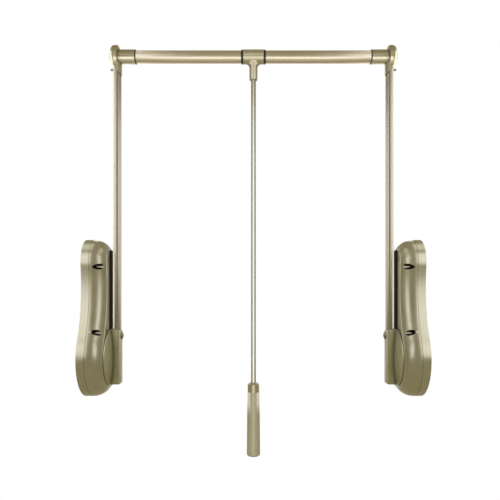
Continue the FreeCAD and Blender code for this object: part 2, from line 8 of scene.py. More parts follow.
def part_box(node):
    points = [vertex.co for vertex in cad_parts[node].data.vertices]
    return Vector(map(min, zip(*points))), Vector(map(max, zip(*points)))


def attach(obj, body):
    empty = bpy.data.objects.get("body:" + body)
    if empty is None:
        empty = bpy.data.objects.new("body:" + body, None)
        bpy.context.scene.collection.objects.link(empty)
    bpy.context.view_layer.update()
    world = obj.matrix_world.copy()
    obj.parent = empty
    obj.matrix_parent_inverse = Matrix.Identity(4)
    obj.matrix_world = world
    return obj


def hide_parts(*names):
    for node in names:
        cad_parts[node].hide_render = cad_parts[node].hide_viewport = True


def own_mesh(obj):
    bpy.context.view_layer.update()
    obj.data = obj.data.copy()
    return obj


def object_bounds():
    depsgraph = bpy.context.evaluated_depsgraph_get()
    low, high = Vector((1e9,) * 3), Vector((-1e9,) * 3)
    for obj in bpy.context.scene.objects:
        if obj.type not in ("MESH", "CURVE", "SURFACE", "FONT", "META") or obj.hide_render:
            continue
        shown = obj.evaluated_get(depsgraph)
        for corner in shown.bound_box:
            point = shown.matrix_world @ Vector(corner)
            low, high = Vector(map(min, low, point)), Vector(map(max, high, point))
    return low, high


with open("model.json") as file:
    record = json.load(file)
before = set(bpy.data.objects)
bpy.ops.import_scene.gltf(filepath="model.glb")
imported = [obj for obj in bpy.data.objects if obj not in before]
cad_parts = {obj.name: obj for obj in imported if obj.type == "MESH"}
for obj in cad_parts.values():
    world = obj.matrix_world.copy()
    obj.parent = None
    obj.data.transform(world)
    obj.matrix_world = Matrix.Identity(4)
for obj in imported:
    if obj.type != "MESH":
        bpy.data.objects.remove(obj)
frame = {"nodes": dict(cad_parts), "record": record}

cadBox = [list(corner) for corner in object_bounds()]
scene = bpy.context.scene
scene.view_settings.view_transform = "Standard"
mm = 0.001
span = cadBox[1][0]  # between the two wardrobe walls, the left one at zero
middle = span / 2
sides = ("left", "right")
print("frame loaded:", len(frame["nodes"]), "nodes")


def linear(hexCode):
    # sRGB hex to the linear colour that the shaders take
    shares = [int(hexCode[i:i + 2], 16) / 255 for i in (1, 3, 5)]
    return tuple(s / 12.92 if s <= 0.04045 else ((s + 0.055) / 1.055) ** 2.4 for s in shares) + (1.0,)


def addNode(tree, kind, settings=(), values=(), links=()):
    # any node, with its settings, its unlinked values and what feeds it
    node = tree.nodes.new(kind)
    for name, value in dict(settings).items():
        setattr(node, name, value)
    for key, value in dict(values).items():
        node.inputs[key].default_value = value
    for key, socket in dict(links).items():
        tree.links.new(socket, node.inputs[key])
    return node


# a Mix node's sockets for numbers and for colours share their names, so they go by place
mixShare, numberUnder, numberOver, colourUnder, colourOver = 0, 2, 3, 6, 7
numberOut, colourOut = 0, 2

# camera: level, in front of the middle of the span, with its frame raised by the shift
view = {"lens": 38.57, "sensor": 36, "shift": (-0.0069, 0.1), "place": (middle, -1.02, 0.1085)}
camData = bpy.data.cameras.new("camera")
camData.lens = view["lens"]
camData.sensor_width = view["sensor"]
camData.shift_x, camData.shift_y = view["shift"]
cam = bpy.data.objects.new("camera", camData)
cam.location = view["place"]
cam.rotation_euler = (math.pi / 2, 0, 0)
scene.collection.objects.link(cam)
scene.camera = cam

# soft boxes on both sides: the left ones are given, and the right ones mirror them about the span's middle.
# Level is a box's own brightness, and tint its colour where it isn't plain white. Only names the group of
# pieces that a box is kept to, without a group that it leaves out, and through one that lets its light pass
pairedBoxes = {
    "softBox": {"place": (-0.555, -0.90, 0.645), "size": (0.90, 1.11), "level": 2.13, "tint": "#EEF2FF",
                "without": "shaded"},
    "back": {"place": (-0.555, 0.90, 0.42), "size": (0.90, 1.40), "level": 1.3, "without": "hubs"},
    "top": {"place": (-0.32, -0.15, 1.30), "aim": (-0.32, -0.149, 0), "size": (0.50, 0.80), "level": 1.2,
            "without": "shaded"},
    "wing": {"place": (-0.60, 0.05, 0.45), "aim": (0, 0.05, 0.45), "size": (0.90, 1.10), "level": 2.2,
             "only": "%sArm", "through": "housings"},
    "inner": {"place": (1.20, 0.05, 0.45), "aim": (0, 0.05, 0.45), "size": (1.30, 1.10), "level": 1.25,
              "only": "%sInner"},
}
railSpot = (middle, 0, 0.571)
lamps = {  # single boxes in front, above and below
    "floorBox": {"place": (middle, -0.2, 2.60), "aim": (middle, -0.199, 0), "size": (3.00, 3.00),
                 "level": 2.2, "only": "floor"},
    "lowBox": {"place": (middle, -1.2, -0.33), "aim": railSpot, "size": (1.30, 0.95), "level": 2.1,
               "tint": "#F0F5FF", "only": "rail"},
    "sleeveBox": {"place": (middle, -1.05, -0.10), "aim": railSpot, "size": (1.30, 0.45), "level": 1.5,
                  "only": "sleeves"},
    "sleeveTop": {"place": (middle, -1.00, 0.95), "size": (1.30, 0.40), "level": 0.5, "only": "sleeves"},
    "underRail": {"place": (middle, -0.30, -0.60), "aim": (middle, -0.299, 0), "size": (1.30, 1.00),
                  "level": 0.25, "only": "rail"},
    "rodBox": {"place": (middle, -0.90, -0.03), "size": (0.70, 1.24), "level": 0.85, "only": "rodTube"},
    "gripBox": {"place": (middle, -0.88, -0.14), "size": (0.60, 1.02), "level": 1.45, "only": "rodEnds"},
    "rodTopBox": {"place": (middle, -0.90, 0.83), "size": (0.40, 0.48), "level": 1.3, "only": "rodTube"},
    "rodWall": {"place": (middle, -0.95, 0.30), "size": (2.40, 1.50), "level": 0.86, "tint": "#E8F0FF",
                "only": "rodTube"},
    "stemBox": {"place": (middle, -0.90, 0.90), "size": (0.60, 0.20), "level": 1.25, "only": "tee"},
}
for name, box in pairedBoxes.items():
    for side in sides:
        lamp = dict(box)
        if "only" in box:
            lamp["only"] = box["only"] % side
        if side == "right":
            for key in {"place", "aim"} & set(box):
                lamp[key] = (span - box[key][0],) + box[key][1:]
        lamps[name + side.title()] = lamp

# the groups of pieces that the boxes name
brackets = ["left_rail_bracket", "right_rail_bracket"]
flagged = {
    "floor": ["studioFloor"],
    "hubs": ["left_arm_hub", "right_arm_hub", "pull_tee", "left_base_shell", "right_base_shell"],
    "shaded": brackets + ["pull_tubeDrawn"],
    "sleeves": brackets,
    "rail": brackets + ["left_rail_tubeDrawn", "right_rail_tubeDrawn", "rail_collars", "left_rail_ring",
                        "right_rail_ring"],
    "rodEnds": ["pull_tee", "grip_collar", "grip_handle"],
    "rodTube": ["pull_tubeDrawn"],
    "tee": ["pull_tee"],
    "housings": [side + piece for side in sides for piece in (
        "_base_shell", "_cover_shell", "_back_plate", "_pivot_bushes", "_rack_guide", "_spring_bridge",
        "_damper_cylinder", "_damper_rod", "_rack", "_pivot_shaft", "_pivot_gear", "_shaft_clip", "StopStrip",
        "CompressionSprings")],
}
for side in sides:
    flagged[side + "Inner"] = [side + "_arm_tubeDrawn", side + "_arm_hub"]
    flagged[side + "Arm"] = flagged[side + "Inner"] + [side + "_rail_bracket"]

groups = {name: bpy.data.collections.new(name + "Light") for name in flagged}
for name, lamp in lamps.items():
    light = bpy.data.lights.new(name, "AREA")
    light.shape = "RECTANGLE"
    light.size, light.size_y = lamp["size"]
    light.color = linear(lamp.get("tint", "#FFFFFF"))[:3]
    light.energy = lamp["level"] * math.pi * light.size * light.size_y
    lampObj = bpy.data.objects.new(name, light)
    place = Vector(lamp["place"])
    aim = Vector(lamp.get("aim", (place.x, 0, place.z)))  # straight ahead where nothing is said
    lampObj.location = place
    lampObj.rotation_euler = (aim - place).to_track_quat("-Z", "Y").to_euler()
    lampObj.visible_camera = False
    if "only" in lamp or "without" in lamp:
        lampObj.light_linking.receiver_collection = groups[lamp.get("only") or lamp["without"]]
    if "through" in lamp:
        lampObj.light_linking.blocker_collection = groups[lamp["through"]]
    scene.collection.objects.link(lampObj)

# the room: warm grey, paler beside and below; the white background fills the camera's view, and metal shows
# it in the direction that the camera looks in. Each pair is where a step begins and ends, along the way out
room = {"grey": "#A09A78", "white": "#FFFFFF", "side": "#AAA690", "under": "#B2AC8C", "low": (-0.1, -0.5),
        "beside": (0.45, 0.85), "rise": (-0.02, 0.2), "fall": (0.45, 0.8), "behind": (0.85, 0.985)}
world = bpy.data.worlds.new("studio")
scene.world = world
world.use_nodes = True
tree = world.node_tree
wayOut = addNode(tree, "ShaderNodeTexCoord").outputs["Generated"]
axes = addNode(tree, "ShaderNodeSeparateXYZ", links={0: wayOut}).outputs
sideways = addNode(tree, "ShaderNodeMath", {"operation": "ABSOLUTE"}, links={0: axes["X"]}).outputs[0]
steps = {}
for name, socket in (("beside", sideways), ("rise", axes["Z"]), ("fall", axes["Z"]), ("low", axes["Z"]),
                     ("behind", axes["Y"])):
    step = addNode(tree, "ShaderNodeMapRange", {"interpolation_type": "SMOOTHSTEP"},
                   {"From Min": room[name][0], "From Max": room[name][1]}, {"Value": socket})
    steps[name] = step.outputs["Result"]
band = addNode(tree, "ShaderNodeMath", {"operation": "SUBTRACT", "use_clamp": True},
               links={0: steps["rise"], 1: steps["fall"]})
walls = addNode(tree, "ShaderNodeMath", {"operation": "MULTIPLY"},
                links={0: steps["beside"], 1: band.outputs[0]})
lower = addNode(tree, "ShaderNodeMix", {"data_type": "RGBA"},
                {colourUnder: linear(room["grey"]), colourOver: linear(room["under"])},
                {mixShare: steps["low"]})
ground = addNode(tree, "ShaderNodeMix", {"data_type": "RGBA"}, {colourOver: linear(room["side"])},
                 {mixShare: walls.outputs[0], colourUnder: lower.outputs[colourOut]})
rays = addNode(tree, "ShaderNodeLightPath").outputs
shiny = addNode(tree, "ShaderNodeMath", {"operation": "ADD", "use_clamp": True},
                links={0: rays["Is Glossy Ray"], 1: rays["Is Transmission Ray"]})
shows = addNode(tree, "ShaderNodeMath", {"operation": "MULTIPLY_ADD", "use_clamp": True},
                links={0: shiny.outputs[0], 1: steps["behind"], 2: rays["Is Camera Ray"]})
seen = addNode(tree, "ShaderNodeMix", {"data_type": "RGBA"}, {colourOver: linear(room["white"])},
               {mixShare: shows.outputs[0], colourUnder: ground.outputs[colourOut]})
tree.links.new(seen.outputs[colourOut], tree.nodes["Background"].inputs["Color"])

# pale floor well below the hanging grip
floorBoard = {"z": -0.75, "x": (-1.4, 2.03), "y": (-1.6, 1.2), "colour": "#E6E7EA", "rough": 0.9}
floorMesh = bpy.data.meshes.new("studioFloor")
(x0, x1), (y0, y1) = floorBoard["x"], floorBoard["y"]
corners = [(x, y, floorBoard["z"]) for x, y in ((x0, y0), (x1, y0), (x1, y1), (x0, y1))]
floorMesh.from_pydata(corners, [], [(0, 1, 2, 3)])
floor = bpy.data.objects.new("studioFloor", floorMesh)
scene.collection.objects.link(floor)
floor.visible_diffuse = floor.visible_glossy = False  # its bright face isn't to tint the pieces from below
floorMat = bpy.data.materials.new("matteWhiteBoard")  # plain board, even and dull
floorMat.use_nodes = True
shader = floorMat.node_tree.nodes["Principled BSDF"]
shader.inputs["Base Color"].default_value = linear(floorBoard["colour"])
shader.inputs["Roughness"].default_value = floorBoard["rough"]
floorMesh.materials.append(floorMat)
print("camera, lamps, room and floor set")

noiseSpread = (0.3, 0.7)  # where nearly all of a noise lies
waveHeight = 0.1 * mm


def newFinish(name):
    # an empty finish; gives it with its tree, its shader and the place on the piece that its patterns follow
    mat = bpy.data.materials.new(name)
    mat.use_nodes = True
    tree = mat.node_tree
    place = addNode(tree, "ShaderNodeTexCoord").outputs["Object"]
    return mat, tree, tree.nodes["Principled BSDF"], place


def skin(tree, shader, look, tone, gloss, waves):
    # roughness follows one pattern and shallow waves another; gives the colour that follows a third
    rough = addNode(tree, "ShaderNodeMapRange", (),
                    {"From Min": noiseSpread[0], "From Max": noiseSpread[1], "To Min": look["rough"][0],
                     "To Max": look["rough"][1]}, {"Value": gloss})
    tree.links.new(rough.outputs["Result"], shader.inputs["Roughness"])
    bump = addNode(tree, "ShaderNodeBump", (), {"Strength": look["waves"], "Distance": waveHeight},
                   {"Height": waves})
    tree.links.new(bump.outputs["Normal"], shader.inputs["Normal"])
    shader.inputs["Metallic"].default_value = look["metallic"]
    colour = addNode(tree, "ShaderNodeValToRGB", links={"Fac": tone})
    for element, position, shade in zip(colour.color_ramp.elements, noiseSpread, ("dark", "light")):
        element.position = position
        element.color = linear(look[shade])
    return colour.outputs["Color"]


# what all the lacquers share: paler where edges turn, and painted shade, a dark colour mixed in where corners
# close in that stands for the shade falling there
film = {"cloudShare": 0.5, "edge": "#D9D2BE", "edgeWidth": 0.8 * mm, "edgeTurn": (0.97, 0.8),
        "edgeSamples": 6, "corner": "#3A3728", "cornerGap": (0.85, 0.3), "cornerShare": 0.85,
        "cornerSamples": 8}


def lacquer(name, look):
    # metal-flake lacquer: a base that reflects like satin metal, under a thin clear film
    mat, tree, shader, place = newFinish(name)
    noises = {}
    # flakes are about 0.04 mm across, drawn coarser so that they show at all; the waves are orange peel
    for pattern, detail in (("flakeSize", 1.0), ("cloudSize", 2.0), ("peelSize", 1.0)):
        noise = addNode(tree, "ShaderNodeTexNoise", (), {"Scale": 1 / look[pattern], "Detail": detail},
                        {"Vector": place})
        noises[pattern] = noise.outputs["Fac"]
    both = addNode(tree, "ShaderNodeMix", {"data_type": "FLOAT"}, {mixShare: film["cloudShare"]},
                   {numberUnder: noises["flakeSize"], numberOver: noises["cloudSize"]})
    surface = skin(tree, shader, look, both.outputs[numberOut], noises["cloudSize"], noises["peelSize"])
    # lacquer draws thin and rubs paler along edges
    rounded = addNode(tree, "ShaderNodeBevel", {"samples": film["edgeSamples"]},
                      {"Radius": film["edgeWidth"]})
    flat = addNode(tree, "ShaderNodeNewGeometry")
    turn = addNode(tree, "ShaderNodeVectorMath", {"operation": "DOT_PRODUCT"},
                   links={0: rounded.outputs["Normal"], 1: flat.outputs["Normal"]})
    edge = addNode(tree, "ShaderNodeMapRange", (),
                   {"From Min": film["edgeTurn"][0], "From Max": film["edgeTurn"][1],
                    "To Max": look["edgeWear"]}, {"Value": turn.outputs["Value"]})
    worn = addNode(tree, "ShaderNodeMix", {"data_type": "RGBA"}, {colourOver: linear(film["edge"])},
                   {mixShare: edge.outputs["Result"], colourUnder: surface})
    surface = worn.outputs[colourOut]
    if "cavity" in look:
        # painted shade: the colour darkens towards dark brown where nearby surfaces close in, standing for
        # the shade in corners and gaps
        gap = addNode(tree, "ShaderNodeAmbientOcclusion", {"samples": film["cornerSamples"]},
                      {"Distance": look["cavity"]})
        corner = addNode(tree, "ShaderNodeMapRange", (),
                         {"From Min": film["cornerGap"][0], "From Max": film["cornerGap"][1],
                          "To Max": film["cornerShare"]}, {"Value": gap.outputs["AO"]})
        paintedCornerShade = addNode(tree, "ShaderNodeMix", {"data_type": "RGBA"}, {colourOver: linear(film["corner"])},
                        {mixShare: corner.outputs["Result"], colourUnder: surface})
        surface = paintedCornerShade.outputs[colourOut]
    tree.links.new(surface, shader.inputs["Base Color"])
    shader.inputs["Coat Weight"].default_value = look["coat"]
    shader.inputs["Coat Roughness"].default_value = look["coatRough"]
    return mat


def placeInSpan(tree):
    # where a point of the piece is: its axes, and its distance from the middle of the span
    place = addNode(tree, "ShaderNodeTexCoord").outputs["Object"]
    axes = addNode(tree, "ShaderNodeSeparateXYZ", links={0: place}).outputs
    offset = addNode(tree, "ShaderNodeMath", {"operation": "SUBTRACT"}, {1: middle}, {0: axes["X"]})
    offMiddle = addNode(tree, "ShaderNodeMath", {"operation": "ABSOLUTE"}, links={0: offset.outputs[0]})
    return axes, offMiddle.outputs[0]


# champagne lacquer on moulded ABS: soft highlights, faint cloudiness, a little orange peel
housingPaint = lacquer("champagneLacquerOnAbs", {
    "light": "#B6B09A", "dark": "#A9A38B", "flakeSize": 0.7 * mm, "cloudSize": 22 * mm, "rough": (0.30, 0.38),
    "peelSize": 2.2 * mm, "waves": 0.10, "metallic": 0.82, "coat": 0.55, "coatRough": 0.14, "edgeWear": 0.12,
    "cavity": 9 * mm})
# painted shade: the sides and the deep end of the screw recesses are coloured near black, standing for the
# shade inside them, while the lit middle keeps the lacquer
recesses = {"bare": "#14130F", "radius": 5.35 * mm, "tongue": (0.9 * mm, 2.2 * mm),
            "levels": ({"y": 52.0 * mm, "z": 49.2 * mm, "start": 23.5 * mm, "end": (27 * mm, 30 * mm)},
                       {"y": 38.6 * mm, "z": 169.7 * mm, "start": 20.5 * mm, "end": (24 * mm, 27 * mm)})}
tree = housingPaint.node_tree
shader = tree.nodes["Principled BSDF"]
lacquered = shader.inputs["Base Color"].links[0].from_socket
axes, offMiddle = placeInSpan(tree)
fromWall = addNode(tree, "ShaderNodeMath", {"operation": "SUBTRACT"}, {0: middle}, {1: offMiddle})
offCentre = addNode(tree, "ShaderNodeMath", {"operation": "ABSOLUTE"}, links={0: axes["Y"]})
onFlank = addNode(tree, "ShaderNodeCombineXYZ", links={"Y": offCentre.outputs[0], "Z": axes["Z"]})
for level in recesses["levels"]:
    away = addNode(tree, "ShaderNodeVectorMath", {"operation": "DISTANCE"}, {1: (0, level["y"], level["z"])},
                   {0: onFlank.outputs[0]})
    within = addNode(tree, "ShaderNodeMath", {"operation": "LESS_THAN"}, {1: recesses["radius"]},
                     {0: away.outputs["Value"]})
    past = addNode(tree, "ShaderNodeMath", {"operation": "GREATER_THAN"}, {1: level["start"]},
                   {0: fromWall.outputs[0]})
    offset = addNode(tree, "ShaderNodeMath", {"operation": "SUBTRACT"}, {1: level["z"]}, {0: axes["Z"]})
    height = addNode(tree, "ShaderNodeMath", {"operation": "ABSOLUTE"}, links={0: offset.outputs[0]})
    flanks = addNode(tree, "ShaderNodeMapRange", (),
                     {"From Min": recesses["tongue"][0], "From Max": recesses["tongue"][1]},
                     {"Value": height.outputs[0]})
    deep = addNode(tree, "ShaderNodeMapRange", (), {"From Min": level["end"][1], "From Max": level["end"][0]},
                   {"Value": fromWall.outputs[0]})
    dark = addNode(tree, "ShaderNodeMath", {"operation": "MAXIMUM"},
                   links={0: flanks.outputs["Result"], 1: deep.outputs["Result"]})
    for limit in (within, past):
        dark = addNode(tree, "ShaderNodeMath", {"operation": "MULTIPLY"},
                       links={0: dark.outputs[0], 1: limit.outputs[0]})
    # mixes the painted recess shade over the lacquer
    bare = addNode(tree, "ShaderNodeMix", {"data_type": "RGBA"}, {colourOver: linear(recesses["bare"])},
                   {mixShare: dark.outputs[0], colourUnder: lacquered})
    lacquered = bare.outputs[colourOut]
tree.links.new(lacquered, shader.inputs["Base Color"])

# the same lacquer on zinc castings: a little duller, with the skin of a casting under it
castPaint = lacquer("champagneLacquerOnZincCasting", {
    "light": "#BBB59B", "dark": "#AEA88E", "flakeSize": 0.8 * mm, "cloudSize": 14 * mm, "rough": (0.33, 0.42),
    "peelSize": 1.6 * mm, "waves": 0.12, "metallic": 0.82, "coat": 0.3, "coatRough": 0.15, "edgeWear": 0.12,
    "cavity": 9 * mm})
# the rail's castings are polished before they are lacquered, so they come out paler
polishedCastPaint = lacquer("champagneLacquerOnPolishedCasting", {
    "light": "#C4BBA5", "dark": "#BAB19B", "flakeSize": 0.8 * mm, "cloudSize": 14 * mm, "rough": (0.32, 0.38),
    "peelSize": 1.6 * mm, "waves": 0.10, "metallic": 0.85, "coat": 0.3, "coatRough": 0.15, "edgeWear": 0.7,
    "cavity": 9 * mm})
# on drawn steel tube: smoother, so highlights run as clean lines
tubePaint = lacquer("champagneLacquerOnDrawnTube", {
    "light": "#CBBFA9", "dark": "#C3B7A1", "flakeSize": 0.6 * mm, "cloudSize": 30 * mm, "rough": (0.32, 0.37),
    "peelSize": 3.0 * mm, "waves": 0.05, "metallic": 0.85, "coat": 0.4, "coatRough": 0.08, "edgeWear": 0.7})
# on the arms: the same tube lacquer, coloured a shade deeper as painted shade, standing for the arms falling
# darker under the light
armShadedPaint = lacquer("champagneLacquerOnArmTube", {
    "light": "#A39D8D", "dark": "#9B9585", "flakeSize": 0.6 * mm, "cloudSize": 30 * mm, "rough": (0.28, 0.33),
    "peelSize": 3.0 * mm, "waves": 0.05, "metallic": 0.85, "coat": 0.4, "coatRough": 0.08, "edgeWear": 0.7})
# the pull rod: satin plating under clear lacquer, paler than the rest, with a broad soft highlight
rodPaint = lacquer("satinNickelPlatedTube", {
    "light": "#CBC8C0", "dark": "#C2BFB7", "flakeSize": 0.6 * mm, "cloudSize": 30 * mm, "rough": (0.22, 0.28),
    "peelSize": 3.0 * mm, "waves": 0.05, "metallic": 0.9, "coat": 0.2, "coatRough": 0.2, "edgeWear": 0.7})
# the grip's ABS: satin, worn a little smoother by hands
gripPaint = lacquer("champagneLacquerOnGripAbs", {
    "light": "#B3AD96", "dark": "#A7A18A", "flakeSize": 0.7 * mm, "cloudSize": 18 * mm, "rough": (0.40, 0.48),
    "peelSize": 1.8 * mm, "waves": 0.10, "metallic": 0.22, "coat": 0.12, "coatRough": 0.25, "edgeWear": 0.7})
# painted highlight: four places on the grip's sides just below the collar are coloured near white, fading
# downwards, standing for the light they catch
scoops = {"bright": "#FFFBF0", "fade": (-84 * mm, -112 * mm), "side": (5.2 * mm, 7.0 * mm), "share": 0.75}
tree = gripPaint.node_tree
shader = tree.nodes["Principled BSDF"]
lacquered = shader.inputs["Base Color"].links[0].from_socket
axes, offMiddle = placeInSpan(tree)
outward = addNode(tree, "ShaderNodeMapRange", {"interpolation_type": "SMOOTHSTEP"},
                  {"From Min": scoops["side"][0], "From Max": scoops["side"][1]}, {"Value": offMiddle})
upward = addNode(tree, "ShaderNodeMapRange", {"interpolation_type": "SMOOTHSTEP"},
                 {"From Min": scoops["fade"][1], "From Max": scoops["fade"][0], "To Max": scoops["share"]},
                 {"Value": axes["Z"]})
paintedHighlightShare = addNode(tree, "ShaderNodeMath", {"operation": "MULTIPLY"},
                 links={0: outward.outputs["Result"], 1: upward.outputs["Result"]})
bright = addNode(tree, "ShaderNodeMix", {"data_type": "RGBA"}, {colourOver: linear(scoops["bright"])},
                 {mixShare: paintedHighlightShare.outputs[0], colourUnder: lacquered})
tree.links.new(bright.outputs[colourOut], shader.inputs["Base Color"])
# the grip's collar: the same lacquer with more flake in it, dark at the sides and bright along the middle
collarPaint = lacquer("champagneLacquerOnCollar", {
    "light": "#B4AE96", "dark": "#A8A28A", "flakeSize": 0.7 * mm, "cloudSize": 18 * mm, "rough": (0.26, 0.32),
    "peelSize": 1.8 * mm, "waves": 0.08, "metallic": 0.7, "coat": 0.2, "coatRough": 0.15, "edgeWear": 0.4})


def dullStuff(name, look):
    # moulded or plated stuff: colour, gloss and waves all vary with one fine grain
    mat, tree, shader, place = newFinish(name)
    noise = addNode(tree, "ShaderNodeTexNoise", (), {"Scale": 1 / look["grainSize"], "Detail": 3.0},
                    {"Vector": place})
    grain = noise.outputs["Fac"]
    tree.links.new(skin(tree, shader, look, grain, grain, grain), shader.inputs["Base Color"])
    if "ior" in look:
        shader.inputs["IOR"].default_value = look["ior"]
    return mat


blackNylon = dullStuff("mouldedBlackNylon", {  # even black with a dull moulded skin
    "light": "#0F0F0E", "dark": "#090909", "grainSize": 0.6 * mm, "rough": (0.42, 0.55), "waves": 0.15,
    "metallic": 0.0, "ior": 1.53})
blackRubber = dullStuff("mouldedBlackRubber", {  # greyer and duller than the nylon
    "light": "#201F1E", "dark": "#171615", "grainSize": 0.9 * mm, "rough": (0.62, 0.75), "waves": 0.2,
    "metallic": 0.0, "ior": 1.52})
zincSteel = dullStuff("zincPlatedSteel", {  # pale bluish grey with a faint spangle
    "light": "#C3C5C6", "dark": "#AEB1B3", "grainSize": 4 * mm, "rough": (0.3, 0.42), "waves": 0.05,
    "metallic": 1.0})
oiledSteel = dullStuff("oiledSpringSteel", {  # dark grey wire with a wet shine
    "light": "#8D8E90", "dark": "#77787A", "grainSize": 2 * mm, "rough": (0.22, 0.34), "waves": 0.05,
    "metallic": 1.0})
nickelSteel = dullStuff("blackNickelPlatedSteel", {  # smoky plating that mirrors small bright and dark spots
    "light": "#8F8A7B", "dark": "#7E796A", "grainSize": 1.5 * mm, "rough": (0.12, 0.2), "waves": 0.04,
    "metallic": 1.0})
acetal = dullStuff("mouldedAcetal", {  # milky white, waxy
    "light": "#E8E7E0", "dark": "#DEDDD5", "grainSize": 1.2 * mm, "rough": (0.32, 0.42), "waves": 0.05,
    "metallic": 0.0, "ior": 1.48})

finishes = {"housing_plastic": housingPaint, "cast_metal": castPaint, "tube_metal": tubePaint,
            "grip_plastic": gripPaint, "black_plastic": blackNylon, "black_rubber": blackRubber,
            "plain_steel": zincSteel, "spring_steel": oiledSteel, "bolt_steel": nickelSteel, "acetal": acetal}
slotOf = {part["node"]: part["material_slot"] for part in frame["record"]["subparts"]}
ownFinishes = {"grip_collar": collarPaint, **dict.fromkeys(["pull_tee"] + brackets, polishedCastPaint)}
for name, obj in frame["nodes"].items():
    for slot in obj.material_slots:
        slot.material = ownFinishes.get(name, finishes[slotOf[name]])
print("finishes given to", len(frame["nodes"]), "nodes")


def newTree(name, inputs):
    # an empty geometry tree with its named inputs; gives the tree and their sockets
    tree = bpy.data.node_groups.new(name, "GeometryNodeTree")
    for label in inputs:
        kind = "NodeSocketMaterial" if label == "Finish" else "NodeSocketFloat"
        tree.interface.new_socket(label, in_out="INPUT", socket_type=kind)
    tree.interface.new_socket("Geometry", in_out="OUTPUT", socket_type="NodeSocketGeometry")
    return tree, addNode(tree, "NodeGroupInput").outputs


def closeTree(tree, shape, finish, sharpFrom):
    # smooth faces with crisp edges, then plain geometry with its material
    smooth = addNode(tree, "GeometryNodeSetShadeSmooth", {"domain": "FACE"}, links={0: shape})
    bend = addNode(tree, "GeometryNodeInputMeshEdgeAngle")
    crisp = addNode(tree, "FunctionNodeCompare", {"data_type": "FLOAT", "operation": "GREATER_THAN"},
                    {1: math.radians(sharpFrom)}, {0: bend.outputs["Unsigned Angle"]})
    edges = addNode(tree, "GeometryNodeSetShadeSmooth", {"domain": "EDGE"}, {"Shade Smooth": False},
                    {0: smooth.outputs[0], "Selection": crisp.outputs["Result"]})
    real = addNode(tree, "GeometryNodeRealizeInstances", links={0: edges.outputs[0]})
    coated = addNode(tree, "GeometryNodeSetMaterial", links={"Geometry": real.outputs[0], "Material": finish})
    addNode(tree, "NodeGroupOutput", links={0: coated.outputs[0]})


def grow(tree, name, sizes, place, body, node):
    # runs the tree once, keeps the result as a plain mesh in its place and lets it stand for the CAD node
    obj = bpy.data.objects.new(name, bpy.data.meshes.new(name))
    scene.collection.objects.link(obj)
    modifier = obj.modifiers.new("grow", "NODES")
    modifier.node_group = tree
    for item in tree.interface.items_tree:
        if item.in_out == "INPUT":
            modifier[item.identifier] = sizes[item.name]
    obj.update_tag()
    mesh = bpy.data.meshes.new_from_object(obj.evaluated_get(bpy.context.evaluated_depsgraph_get()))
    obj.modifiers.clear()
    mesh.transform(place)
    mesh.name = name
    obj.data = mesh
    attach(obj, body)
    if node:
        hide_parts(node)
    return obj


def cornersOf(node):
    # the low and the high corner of a CAD node's box
    return [Vector(corner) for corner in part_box(node)]


def towards(way):
    # turns a shape that stands along Z to lie along X, facing right for 1 and left for -1
    return Matrix.Rotation(way * math.pi / 2, 4, "Y")


# drawn tubes: a rounded wall section swept round in a circle
tubeMesh = {"round": 72, "lipSteps": 4, "sharpFrom": 12}
tubeTree, given = newTree("drawnTube", ("Length", "Outer Radius", "Wall", "Lip", "Finish"))
half = addNode(tubeTree, "ShaderNodeMath", {"operation": "MULTIPLY"}, {1: 0.5}, {0: given["Wall"]})
midWall = addNode(tubeTree, "ShaderNodeMath", {"operation": "SUBTRACT"},
                  links={0: given["Outer Radius"], 1: half.outputs[0]})
ring = addNode(tubeTree, "GeometryNodeCurvePrimitiveCircle", (), {"Resolution": tubeMesh["round"]},
               {"Radius": midWall.outputs[0]})
section = addNode(tubeTree, "GeometryNodeCurvePrimitiveQuadrilateral",
                  links={"Width": given["Wall"], "Height": given["Length"]})
lips = addNode(tubeTree, "GeometryNodeFilletCurve", {"mode": "POLY"},
               {"Count": tubeMesh["lipSteps"], "Limit Radius": True},
               {"Curve": section.outputs[0], "Radius": given["Lip"]})
sweep = addNode(tubeTree, "GeometryNodeCurveToMesh",
                links={"Curve": ring.outputs[0], "Profile Curve": lips.outputs[0]})
closeTree(tubeTree, sweep.outputs[0], given["Finish"], tubeMesh["sharpFrom"])
tubes = {
    "left_arm_tube": {"body": "left_swing_arm", "wall": 1.2 * mm, "lip": 0.4 * mm, "finish": armShadedPaint},
    "right_arm_tube": {"body": "right_swing_arm", "wall": 1.2 * mm, "lip": 0.4 * mm, "finish": armShadedPaint},
    "left_rail_tube": {"body": "left_swing_arm", "wall": 1.2 * mm, "lip": 0.5 * mm, "finish": tubePaint},
    "right_rail_tube": {"body": "right_swing_arm", "wall": 1.2 * mm, "lip": 0.5 * mm, "finish": tubePaint},
    "rail_core_tube": {"body": "rail_middle", "wall": 1.2 * mm, "lip": 0.4 * mm, "finish": tubePaint},
    "pull_tube": {"body": "pull_rod", "wall": 1.0 * mm, "lip": 0.3 * mm, "finish": rodPaint},
}
for name, tube in tubes.items():
    low, high = cornersOf(name)
    size = high - low
    turn = towards(1) if size.x > size.z else Matrix.Identity(4)
    grow(tubeTree, name + "Drawn", {"Length": max(size), "Outer Radius": size.y / 2, "Wall": tube["wall"],
                                    "Lip": tube["lip"], "Finish": tube["finish"]},
         Matrix.Translation((low + high) / 2) @ turn, tube["body"], name)
print("tubes drawn:", len(tubes))

